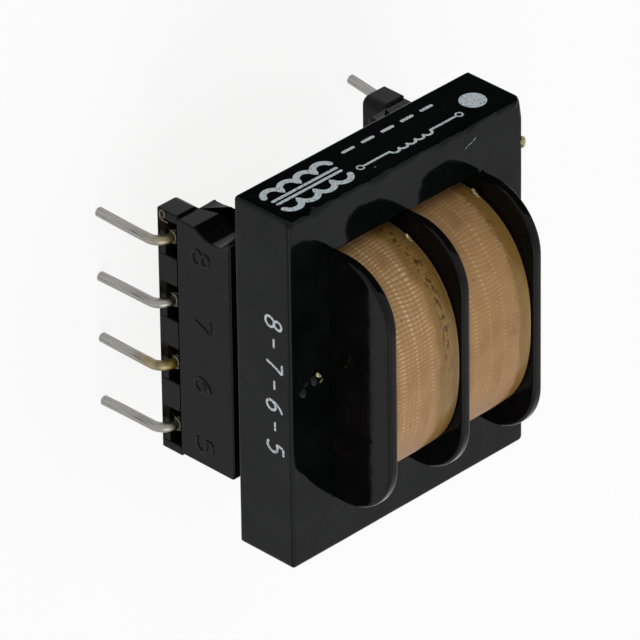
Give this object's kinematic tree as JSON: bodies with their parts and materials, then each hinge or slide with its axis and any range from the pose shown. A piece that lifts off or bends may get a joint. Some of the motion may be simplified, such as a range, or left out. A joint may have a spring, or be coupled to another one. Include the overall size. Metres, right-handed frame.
{
  "type": "pcb transformer",
  "caption": "Small open-frame mains transformer for a circuit board: laminated core on a split coil former with two terminal blocks and bent wire pins.",
  "frame": {"origin": "middle of the eight-pin pattern, on the plane of the terminal blocks' feet, which is the board's surface", "axes": "+X along the coil former towards pins 1 to 4, +Y along the core's long side towards pins 1 and 8, +Z away from the board"},
  "size_m": [0.0318, 0.035, 0.0294],
  "materials": {
    "lamination": "silicon steel under dark glossy varnish",
    "former": "black moulded plastic, dipped in clear varnish",
    "coil_wire": "enamelled copper wire, wound in layers",
    "tape": "woven glass-cloth tape soaked in amber varnish",
    "pin": "tinned wire, slightly dull",
    "lead_wire": "copper wire with tin-lead solder on its last turns"
  },
  "bodies": {
    "root": {"e_lamination_1": "lamination", "e_lamination_2": "lamination", "e_lamination_3": "lamination", "e_lamination_4": "lamination", "e_lamination_5": "lamination", "e_lamination_6": "lamination", "e_lamination_7": "lamination", "e_lamination_8": "lamination", "e_lamination_9": "lamination", "e_lamination_10": "lamination", "i_lamination_1": "lamination", "i_lamination_2": "lamination", "i_lamination_3": "lamination", "i_lamination_4": "lamination", "i_lamination_5": "lamination", "i_lamination_6": "lamination", "i_lamination_7": "lamination", "i_lamination_8": "lamination", "i_lamination_9": "lamination", "i_lamination_10": "lamination", "bobbin": "former", "winding_primary": "coil_wire", "winding_secondary": "coil_wire", "tape_primary": "tape", "tape_secondary": "tape", "pin_1": "pin", "pin_2": "pin", "pin_3": "pin", "pin_4": "pin", "pin_5": "pin", "pin_6": "pin", "pin_7": "pin", "pin_8": "pin", "lead_wire_1": "lead_wire", "lead_wire_2": "lead_wire", "lead_wire_3": "lead_wire", "lead_wire_4": "lead_wire", "lead_wire_5": "lead_wire", "lead_wire_6": "lead_wire", "lead_wire_7": "lead_wire", "lead_wire_8": "lead_wire"}
  },
  "joints": []
}
